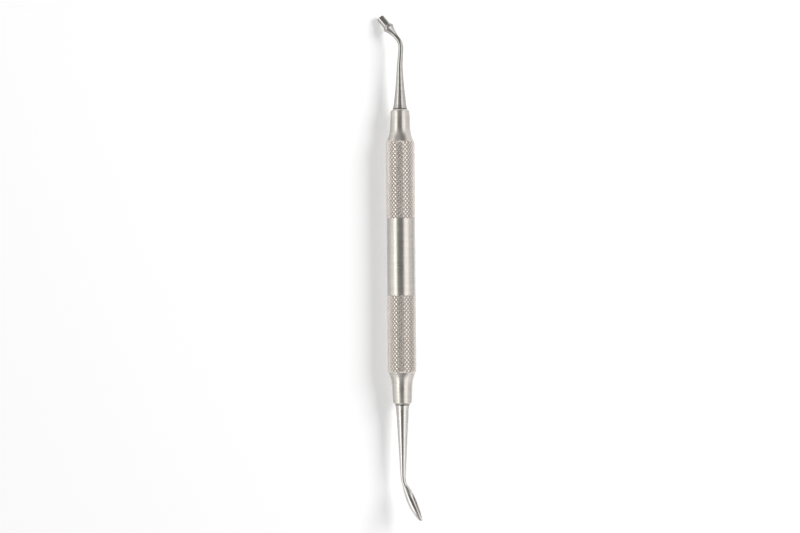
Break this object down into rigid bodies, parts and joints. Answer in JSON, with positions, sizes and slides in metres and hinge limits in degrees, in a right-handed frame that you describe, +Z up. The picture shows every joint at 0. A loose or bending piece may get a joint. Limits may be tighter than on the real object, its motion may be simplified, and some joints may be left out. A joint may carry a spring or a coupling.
{
  "type": "bone graft condenser",
  "caption": "Slim double-ended dental hand instrument with a knurled hollow handle, a stepped cylindrical condenser tip and a small leaf-shaped scoop.",
  "frame": {"origin": "middle of the footprint on the surface that the instrument lies on, straight below the handle's axis", "axes": "+X along the handle towards the condenser's end, +Y the side that the condenser's tip bends to, +Z up from the surface"},
  "size_m": [0.168, 0.0113, 0.0097],
  "materials": {
    "satin_steel": "satin stainless steel, fine turning marks and diamond knurling",
    "polished_steel": "brightly polished stainless steel"
  },
  "bodies": {
    "root": {"handle": "satin_steel", "condenser_end": "polished_steel", "scoop_end": "polished_steel"}
  },
  "joints": []
}
